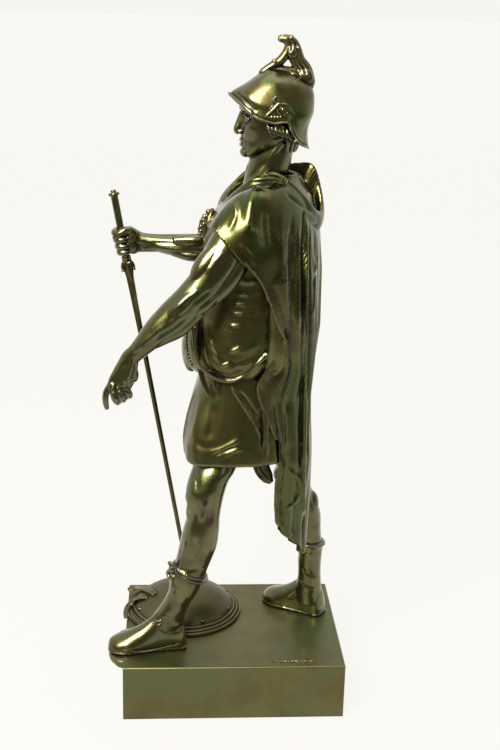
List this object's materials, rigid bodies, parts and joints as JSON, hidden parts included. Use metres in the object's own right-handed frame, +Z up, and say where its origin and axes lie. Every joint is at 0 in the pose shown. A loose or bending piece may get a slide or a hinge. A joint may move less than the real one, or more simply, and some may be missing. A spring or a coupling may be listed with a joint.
{
  "type": "roman soldier statuette",
  "caption": "Bronze statuette of a striding Roman soldier in a crested helmet, hooded cloak and tunic, resting a long sword on a round shield, on a rectangular plinth.",
  "frame": {"origin": "centre of the plinth's underside", "axes": "+Z up; the soldier faces -Y, with the left side of the figure towards +X"},
  "size_m": [0.1644, 0.2157, 0.5968],
  "materials": {
    "plinth": "brown-green patinated bronze, satin",
    "soldier": "dark olive-brown patinated bronze, polished high points",
    "sword": "olive-brown patinated bronze, polished",
    "shield": "olive-brown patinated bronze, satin"
  },
  "bodies": {
    "root": {"plinth": "plinth", "soldier": "soldier", "sword": "sword", "shield": "shield"}
  },
  "joints": []
}
